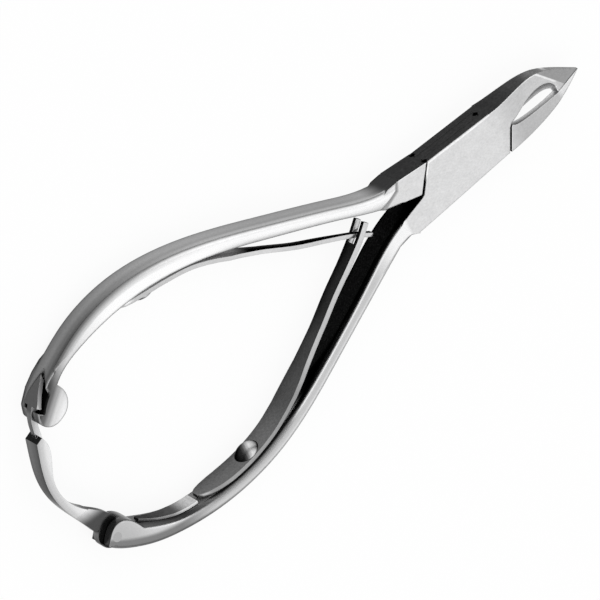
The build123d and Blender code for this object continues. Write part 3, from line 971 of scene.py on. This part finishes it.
@dataclass
class SpringLeaf:
    """Leaf spring in one piece, from the rounded tail under its screw to its tip.

    Attributes:
        name: Name of the piece.
        nodes: CAD nodes of the fixed and the free part.
        bodies: CAD bodies of the fixed and the free part. Not used.
        line: Middle line from tail to tip, in X and Y.
        widths: Pairs of X and full width.
        thick: Pairs of X and thickness.
        finish: Finish of the leaf.
        fork: Width of the slot in the tip, 0 for none.
        steps: Stations between two points of the middle line.
    """

    name: str
    nodes: tuple[str, str]
    bodies: tuple[str, str]
    line: tuple[tuple[float, float], ...]
    widths: Stops
    thick: Stops
    finish: Steel
    fork: float = 0.0
    steps: int = 6

    def path(self) -> list[Vector]:
        """Stations along a smooth curve through the points of the middle line.

        Returns:
            The stations from tail to tip.
        """
        points = [Vector((x, y, 0.0)) for x, y in self.line]
        around = [points[0] * 2 - points[1], *points, points[-1] * 2 - points[-2]]
        courses = [((b - a).normalized() + (c - b).normalized()).normalized()
                   for a, b, c in zip(around, around[1:], around[2:])]
        stations = []
        for first, last, leave, arrive in zip(points, points[1:], courses, courses[1:]):
            reach = (last - first).length / 3
            stations += interpolate_bezier(first, first + leave * reach, last - arrive * reach, last,
                                           self.steps + 1)[:-1]
        return stations + [points[-1]]

    @staticmethod
    def between(stops: Stops, x: float) -> float:
        """Reads a value from the straight lines through some stops.

        Args:
            stops: Pairs of X and value, from the lowest X up.
            x: Place along X.

        Returns:
            The value at x.
        """
        for (x0, v0), (x1, v1) in zip(stops, stops[1:]):
            if x <= x1:
                return v0 + (v1 - v0) * max(0.0, (x - x0) / (x1 - x0))
        return stops[-1][1]

    def build(self) -> bpy.types.Object:
        """Extrudes the leaf's section from station to station.

        Returns:
            The finished piece at its place.
        """
        path = self.path()
        turns = [math.atan2(b.y - a.y, b.x - a.x)
                 for a, b in zip([path[0], *path[:-2], path[-2]], [path[1], *path[2:], path[-1]])]
        sizes = [(self.between(self.thick, p.x), self.between(self.widths, p.x)) for p in path]
        bpy.ops.object.select_all(action="DESELECT")
        bpy.ops.mesh.primitive_plane_add(size=MM, location=(path[0].x * MM, path[0].y * MM, MID),
                                         rotation=(math.pi / 2, 0.0, turns[0] + math.pi / 2))
        piece = bpy.context.object
        piece.name = self.name
        bpy.ops.object.mode_set(mode="EDIT")
        bpy.ops.mesh.select_all(action="SELECT")
        bpy.ops.transform.resize(value=(sizes[0][0], sizes[0][0], sizes[0][1]))
        for i in range(1, len(path)):
            step = (path[i] - path[i - 1]) * MM
            bpy.ops.mesh.extrude_region_move(TRANSFORM_OT_translate={"value": tuple(step)})
            bpy.ops.transform.rotate(value=turns[i - 1] - turns[i], orient_axis="Z",
                                     center_override=(path[i].x * MM, path[i].y * MM, MID))
            slim, broad = sizes[i][0] / sizes[i - 1][0], sizes[i][1] / sizes[i - 1][1]
            bpy.ops.transform.resize(value=(slim, slim, broad))
        bpy.ops.mesh.select_all(action="SELECT")
        bpy.ops.mesh.normals_make_consistent(inside=False)
        bpy.ops.object.mode_set(mode="OBJECT")
        bpy.ops.object.transform_apply(location=True, rotation=True, scale=True)
        if self.fork:
            self.cut_fork(piece)
        edges = piece.modifiers.new("edges", "BEVEL")
        edges.width, edges.segments, edges.limit_method = LEAF_BEVEL * MM, 2, "ANGLE"
        edges.angle_limit = SHARP
        bpy.ops.object.modifier_apply(modifier="edges")
        bpy.ops.object.shade_smooth_by_angle(angle=LEAF_SHARP)
        return piece

    def cut_fork(self, piece: bpy.types.Object) -> None:
        """Cuts the slot that the other leaf's tongue passes through.

        Args:
            piece: The leaf.
        """
        bpy.ops.object.select_all(action="DESELECT")
        bpy.ops.mesh.primitive_cube_add(size=MM, location=(FORK_AT[0] * MM, FORK_AT[1] * MM, MID),
                                        scale=(*FORK_BOX, self.fork))
        cutter = bpy.context.object
        bpy.ops.object.select_all(action="DESELECT")
        piece.select_set(True)
        bpy.context.view_layer.objects.active = piece
        slot = piece.modifiers.new("slot", "BOOLEAN")
        slot.operation, slot.object, slot.solver = "DIFFERENCE", cutter, "EXACT"
        bpy.ops.object.modifier_apply(modifier="slot")
        bpy.data.objects.remove(cutter)

    def dress(self) -> None:
        """Gives the leaf its finish and puts it in place of its CAD nodes."""
        piece = self.build()
        piece.data.materials.append(self.finish.build())
        root = self.between(self.line, FLEX_X) * MM
        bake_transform(piece)
        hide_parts(*self.nodes)
        log.info("%s stands for %s", piece.name, ", ".join(self.nodes))


@dataclass(frozen=True)
class Lamp:
    """Square soft lamp that points at the tool. Its places and sizes are in metres.

    Attributes:
        name: Name of the lamp.
        place: Where it hangs.
        size: Length of its side.
        power: Power in watts.
        aim: Point that it lights.
    """

    name: str
    place: tuple[float, float, float]
    size: float
    power: float
    aim: tuple[float, float, float] = (-0.035, 0.0, 0.0)

    def hang(self) -> None:
        """Adds the lamp to the scene."""
        data = bpy.data.lights.new(self.name, "AREA")
        data.size, data.energy = self.size, self.power
        lamp = bpy.data.objects.new(self.name, data)
        bpy.context.scene.collection.objects.link(lamp)
        lamp.location = self.place
        way = Vector(self.aim) - Vector(self.place)
        lamp.rotation_euler = way.to_track_quat("-Z", "Y").to_euler()
        log.info("%s lamp hangs", self.name)


@dataclass
class Studio:
    """Pale floor, soft light and the camera. Its places and sizes are in metres.

    Attributes:
        distance: Distance of the camera from the pivot.
        half_view: Half width of the view one metre from the camera.
        back: Direction from the pivot to the camera.
        roll: Turn of the levers' long axis in the view.
        turn: Turn of the picture.
        shift: Offset of the camera along its own axes before the turn.
        lean: Small turn of the view about the pivot.
        sensor: Width of the camera's sensor in millimetres.
        reach: Nearest and farthest distance that the camera sees.
        floor_size: Side of the floor.
        floor_drop: Gap between the tool and the floor.
        floor_tone: Tone of the floor.
        floor_glow: Share of plain white that the camera and the steel see in the floor.
        horizon: Brightness of the surroundings at the horizon.
        bright_from: Height from which the surroundings are fully bright, 1 being overhead.
        lamps: The lamps.
    """

    distance: float = 1.3
    half_view: float = 0.04017
    back: tuple[float, float, float] = (-0.306, 0.526, 0.794)
    roll: float = math.radians(11.2)
    turn: float = math.radians(38.34)
    shift: tuple[float, float] = (0.03847, 0.001845)
    lean: float = 0.0048
    sensor: float = 36.0
    reach: tuple[float, float] = (0.05, 20.0)
    floor_size: float = 6.0
    floor_drop: float = 0.00005
    floor_tone: float = 0.9
    floor_glow: float = 0.9
    horizon: float = 0.3
    bright_from: float = 0.42
    lamps: tuple[Lamp, ...] = (Lamp("key", (-0.55, -0.35, 0.75), 0.5, 0.9),
                               Lamp("fill", (0.6, 0.5, 0.7), 0.5, 0.4))

    def camera(self) -> None:
        """Places the camera at the chosen angle."""
        back = Vector(self.back).normalized()
        ahead = (Vector((0, 1, 0)) - back * back.y).normalized()
        across = ahead.cross(back)
        first = across * math.cos(self.roll) + ahead * math.sin(self.roll)
        second = ahead * math.cos(self.roll) - across * math.sin(self.roll)
        right = first * math.cos(self.turn) - second * math.sin(self.turn)
        up = first * math.sin(self.turn) + second * math.cos(self.turn)
        pose = Matrix((right, up, back)).transposed().to_4x4()
        pose.translation = back * self.distance - first * self.shift[0] - second * self.shift[1]
        data = bpy.data.cameras.new("camera")
        data.sensor_width, data.lens = self.sensor, self.sensor / 2 / self.half_view
        data.clip_start, data.clip_end = self.reach
        eye = bpy.data.objects.new("camera", data)
        bpy.context.scene.collection.objects.link(eye)
        eye.matrix_world = Matrix.Translation((0, 0, MID)) @ Matrix.Rotation(self.lean, 4, "Z") @ pose
        bpy.context.scene.camera = eye

    def floor(self) -> None:
        """A pale floor that keeps a faint shadow."""
        bpy.ops.object.select_all(action="DESELECT")
        bpy.ops.mesh.primitive_grid_add(x_subdivisions=8, y_subdivisions=8, size=self.floor_size,
                                        location=(0, 0, -self.floor_drop))
        floor = bpy.context.object
        floor.name = "floor"
        material = bpy.data.materials.new("pale_floor")
        bench = Bench.empty(material)
        path = bench.node("ShaderNodeLightPath")
        seen = bench.math("MAXIMUM", Wire(bench, path.outputs["Is Camera Ray"]),
                          Wire(bench, path.outputs["Is Glossy Ray"]))
        matt = bench.wire("ShaderNodeBsdfDiffuse", 0, {}, {"Color": (*(self.floor_tone,) * 3, 1)})
        glow = bench.wire("ShaderNodeEmission", 0, {}, {"Color": (1, 1, 1, 1), "Strength": 1.0})
        mixed = bench.wire("ShaderNodeMixShader", 0, {}, {0: seen * self.floor_glow, 1: matt, 2: glow})
        bench.node("ShaderNodeOutputMaterial", {}, {0: mixed})
        floor.data.materials.append(material)

    def world(self) -> None:
        """Soft white surroundings, dimmer towards the horizon."""
        world = bpy.data.worlds.new("studio")
        bpy.context.scene.world = world
        bench = Bench.empty(world)
        path = bench.node("ShaderNodeLightPath")
        height = bench.parts(bench.wire("ShaderNodeTexCoord", "Generated"))[2]
        dome = bench.ease(height, 0.0, self.bright_from, self.horizon, 1.0)
        light = bench.math("MAXIMUM", dome, Wire(bench, path.outputs["Is Camera Ray"]))
        sky = bench.wire("ShaderNodeBackground", 0, {}, {"Color": (1, 1, 1, 1), "Strength": light})
        bench.node("ShaderNodeOutputWorld", {}, {0: sky})

    def build(self) -> None:
        """Sets up the whole studio."""
        bpy.context.scene.view_settings.view_transform = "Standard"
        self.camera()
        self.floor()
        self.world()
        for lamp in self.lamps:
            lamp.hang()


# The tone stops of both levers are painted reflections and shade, set by height, level and X.
LOWER_STEEL = ForkedSteel(
    "lower_lever_steel", edge=0.75, box_from=-17.0,
    outer=((0.0, 0.1), (0.9, 0.16), (2.2, 0.3), (4.0, 0.2), (5.15, 0.32), (5.45, 0.5), (5.65, 0.8),
           (5.76, 0.82), (5.8, 0.62)),
    rear_outer=((0.0, 0.08), (0.9, 0.12), (2.2, 0.24), (4.0, 0.15), (5.15, 0.35), (5.45, 0.2), (5.68, 0.22),
                (5.77, 0.45), (5.8, 0.66)),
    band=((0.3, 0.002), (0.6, 0.03), (0.76, 0.3), (0.84, 0.85), (0.9, 0.95), (0.975, 0.93), (0.996, 0.62),
          (1.0, 0.56)),
    rear_band=((0.3, 0.1), (0.6, 0.2), (0.8, 0.6), (0.88, 0.76), (0.98, 0.72), (1.0, 0.66)),
    inside=((-95.0, 0.12), (-86.0, 0.04), (-78.0, 0.03), (-75.0, 0.2), (-60.0, 0.8), (-52.0, 0.7),
            (-48.0, 0.05), (-45.0, 0.003), (-10.0, 0.001)),
    end_tones=((-2.0, 0.45), (1.0, 0.5), (4.0, 0.54), (7.0, 0.5)))
UPPER_STEEL = NosedSteel(
    "upper_lever_steel", edge=0.75,
    jaw=((0.0, 0.045), (0.35, 0.05), (0.55, 0.85), (0.9, 0.86), (0.965, 0.56), (0.98, 0.5), (1.0, 0.53)),
    wall=((0.8, 0.9), (2.2, 0.8), (3.2, 0.66), (3.9, 0.5), (4.4, 0.38)),
    outer=((0.0, 0.58), (1.0, 0.44), (2.9, 0.5), (4.3, 0.44), (5.3, 0.45), (5.55, 0.6), (5.72, 0.9),
           (5.8, 1.0)),
    rear_outer=((0.0, 0.1), (1.4, 0.18), (2.9, 0.22), (4.2, 0.15), (5.0, 0.085), (5.4, 0.16), (5.65, 0.35),
                (5.8, 0.6)),
    band=((0.3, 0.3), (0.8, 0.3), (0.86, 0.37), (0.92, 0.48), (0.97, 0.7), (0.993, 0.92), (1.0, 1.0)),
    rear_band=((0.3, 0.4), (0.7, 0.8), (0.9, 0.78), (0.955, 0.4), (1.0, 0.57)),
    inside=((-95.0, 0.6), (-60.0, 0.8), (-47.0, 0.5), (-40.0, 0.1), (-10.0, 0.02)),
    end_tones=((0.6, 0.07), (1.6, 0.14), (2.6, 0.38), (3.6, 0.72), (5.0, 0.9), (6.5, 0.94)))
# Leaf tones by X are painted reflections and shade, with painted highlights on the rims and a bright painted
# patch at the detent leaf's end.
DETENT_STEEL = LeafSteel(
    "detent_steel", face=((-87.0, 0.1), (-79.0, 0.12), (-75.5, 0.6)),
    rim=((-87.0, 0.3), (-80.0, 0.35), (-76.0, 0.85)))
LOWER_LEAF_STEEL = LeafSteel("leaf_steel")
UPPER_LEAF_STEEL = LeafSteel(
    "upper_leaf_steel", soft=0.8, face=((-76.0, 0.6), (-48.0, 0.4), (-44.0, 0.01), (-22.0, 0.003)),
    rim=((-76.0, 0.5), (-50.0, 0.62), (-44.0, 0.7), (-36.0, 0.62), (-22.0, 0.66)))

CARRIED = (
    Carried("lever_lower", LOWER_STEEL), Carried("lever_upper", UPPER_STEEL),
    Carried("latch_arm", LatchSteel("latch_steel")),
    Carried("pivot_pin", PlainSteel("pin_steel", satin=1.0, tones=((0.0, 0.3), (1.0, 0.72)))),
    Carried("latch_pin", PlainSteel("latch_pin_steel", tones=((0.0, 0.1), (1.0, 0.43)))),
    Carried("detent_leaf", DETENT_STEEL))
LOWER_LEAF = SpringLeaf(
    "lower_leaf", ("spring_lower_seat", "spring_lower_blade"), ("lower_lever_body", "lower_spring_body"),
    line=((-73.68, -20.4), (-71.0, -20.7), (-66.5, -20.85), (-61.5, -20.3), (-55.0, -18.35), (-40.2, -9.35),
          (-34.5, -5.25), (-29.5, -2.0), (-25.55, 0.85), (-23.25, 2.9)),
    widths=((-73.68, 1.5), (-73.0, 2.9), (-71.6, 4.05), (-69.6, 4.85), (-67.0, 5.2), (FLEX_X, 4.9),
            (-46.0, 3.9), (-41.0, 3.1), (-30.0, 3.1), (-26.0, 3.3), (-22.0, 3.3)),
    thick=((-73.68, 0.8), (-53.0, 0.8), (-44.0, 1.05), (-22.0, 1.05)), finish=LOWER_LEAF_STEEL, fork=1.5)
UPPER_LEAF = SpringLeaf(
    "upper_leaf", ("spring_upper_seat", "spring_upper_blade"), ("upper_lever_body", "upper_spring_body"),
    line=((-70.2, 20.05), (-66.0, 19.98), (-62.0, 19.55), (-55.0, 17.95), (-42.9, 11.25), (-36.7, 7.4),
          (-30.8, 4.3), (-25.6, 1.4), (-22.7, -0.6)),
    widths=((-70.2, 1.5), (-69.5, 2.9), (-68.1, 4.05), (-66.1, 4.85), (-64.0, 5.2), (FLEX_X, 4.9),
            (-46.6, 3.5), (-43.0, 2.3), (-34.0, 1.9), (-28.0, 1.2), (-22.0, 1.2)),
    thick=((-70.2, 0.8), (-22.0, 0.8)), finish=UPPER_LEAF_STEEL)
LOWER_SCREW = SpringScrew(
    "screw_lower", "lower_lever_body", foot=(-61.6, -19.98), facing=Facing.UPPER, tilt=11.0,
    finish=DomeSteel("lower_dome_steel"))
UPPER_SCREW = SpringScrew(
    "screw_upper", "upper_lever_body", foot=(-65.4, 19.6), facing=Facing.LOWER, tilt=-4.0,
    finish=DomeSteel("upper_dome_steel"))


def clear_start_up() -> None:
    """Removes what a new file holds besides the tool."""
    own = set(frame["nodes"].values()) | set(frame["bodies"].values())
    for thing in list(bpy.data.objects):
        if thing not in own:
            bpy.data.objects.remove(thing)


def corners(box: tuple[Vector, Vector]) -> list[list[float]]:
    """A box as plain lists."""
    return [list(map(float, corner)) for corner in box]


def main() -> None:
    """Dresses the tool and sets up the studio."""
    logging.basicConfig(level=logging.INFO, format="%(message)s")
    clear_start_up()
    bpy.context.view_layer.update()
    for piece in (*CARRIED, LOWER_LEAF, UPPER_LEAF, LOWER_SCREW, UPPER_SCREW):
        piece.dress()
    Studio().build()


if __name__ == "__main__":
    main()
